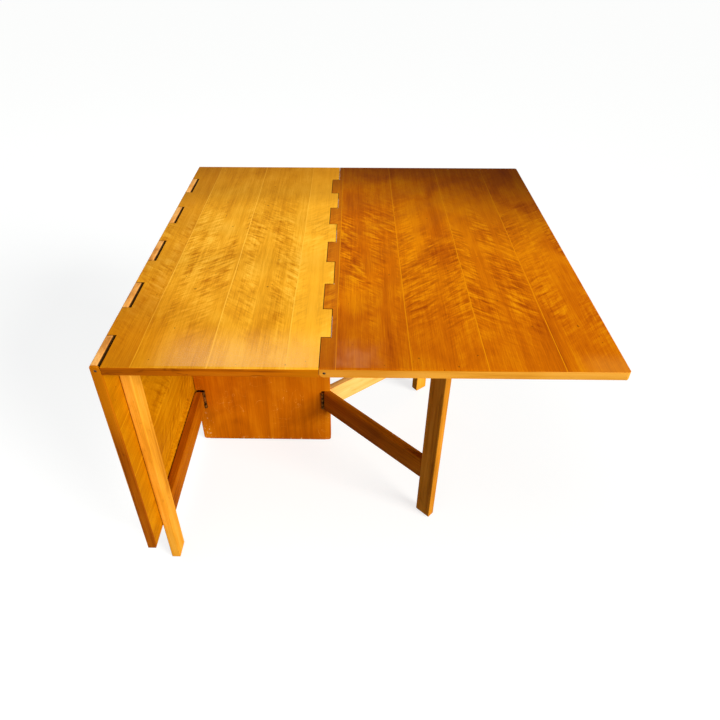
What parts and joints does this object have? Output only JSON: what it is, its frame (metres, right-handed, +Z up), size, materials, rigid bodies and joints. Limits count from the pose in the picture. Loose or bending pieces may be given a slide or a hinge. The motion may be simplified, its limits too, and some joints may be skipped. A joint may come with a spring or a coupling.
{
  "type": "drop leaf table",
  "caption": "Wooden drop leaf table with finger-jointed leaves on rod hinges, a central panel and swinging gate legs; one leaf is up and the other hangs.",
  "frame": {"origin": "on the floor under the middle of the centre panel", "axes": "+X towards the raised leaf, +Y from the front of the table to its back, +Z up"},
  "size_m": [1.036, 1.015, 0.73],
  "materials": {
    "honey_veneer": "satin",
    "amber_veneer": "satin",
    "amber_wood": "satin",
    "panel_veneer": "satin",
    "pale_wood": "satin",
    "brown_wood": "satin",
    "steel": "satin",
    "brass": "satin",
    "dark_plastic": "matte"
  },
  "bodies": {
    "centre": {"centre_board": "honey_veneer", "centre_lipping_front": "amber_wood", "centre_lipping_back": "amber_wood", "hinge_rod_left": "steel", "hinge_rod_right": "steel", "panel": "panel_veneer", "panel_runner": "dark_plastic", "batten_front": "pale_wood", "batten_back": "pale_wood", "batten_screws": "steel", "hinge_plates_front_left": "brass", "hinge_plates_back_left": "brass", "hinge_plates_front_right": "brass", "hinge_plates_back_right": "brass", "hinge_pins_front_left": "brass", "hinge_pins_back_left": "brass", "hinge_pins_front_right": "brass", "hinge_pins_back_right": "brass", "panel_hinge_screws": "brass"},
    "left_leaf": {"left_leaf_board": "honey_veneer", "left_leaf_lipping_front": "pale_wood", "left_leaf_lipping_back": "pale_wood", "left_leaf_lipping_edge": "pale_wood"},
    "right_leaf": {"right_leaf_board": "amber_veneer", "right_leaf_lipping_front": "pale_wood", "right_leaf_lipping_back": "pale_wood", "right_leaf_lipping_edge": "pale_wood"},
    "front_left_gate": {"front_left_leg": "brown_wood", "front_left_lower_rail": "brown_wood", "front_left_upper_rail": "brown_wood", "front_left_glide": "dark_plastic", "front_left_rail_plates": "brass", "front_left_rail_screws": "brass"},
    "back_left_gate": {"back_left_leg": "brown_wood", "back_left_lower_rail": "brown_wood", "back_left_upper_rail": "brown_wood", "back_left_glide": "dark_plastic", "back_left_rail_plates": "brass", "back_left_rail_screws": "brass"},
    "front_right_gate": {"front_right_leg": "brown_wood", "front_right_lower_rail": "brown_wood", "front_right_upper_rail": "brown_wood", "front_right_glide": "dark_plastic", "front_right_rail_plates": "brass", "front_right_rail_screws": "brass"},
    "back_right_gate": {"back_right_leg": "brown_wood", "back_right_lower_rail": "brown_wood", "back_right_upper_rail": "brown_wood", "back_right_glide": "dark_plastic", "back_right_rail_plates": "brass", "back_right_rail_screws": "brass"}
  },
  "joints": [
    {"name": "left_leaf_lift", "type": "hinge", "parent": "centre", "child": "left_leaf", "pos_m": [-0.2205, 0, 0.72], "axis": [0, 1, 0], "range_deg": [0, 90]},
    {"name": "right_leaf_lift", "type": "hinge", "parent": "centre", "child": "right_leaf", "pos_m": [0.2205, 0, 0.72], "axis": [0, -1, 0], "range_deg": [0, 3]},
    {"name": "front_left_gate_swing", "type": "hinge", "parent": "centre", "child": "front_left_gate", "pos_m": [-0.184, -0.013, 0.4], "axis": [0, 0, -1], "range_deg": [-24, 0]},
    {"name": "back_left_gate_swing", "type": "hinge", "parent": "centre", "child": "back_left_gate", "pos_m": [-0.184, 0.013, 0.4], "axis": [0, 0, 1], "range_deg": [-24, 0]},
    {"name": "front_right_gate_swing", "type": "hinge", "parent": "centre", "child": "front_right_gate", "pos_m": [0.184, -0.013, 0.4], "axis": [0, 0, 1], "range_deg": [-70.5, 0]},
    {"name": "back_right_gate_swing", "type": "hinge", "parent": "centre", "child": "back_right_gate", "pos_m": [0.184, 0.013, 0.4], "axis": [0, 0, -1], "range_deg": [-77, 0]}
  ]
}
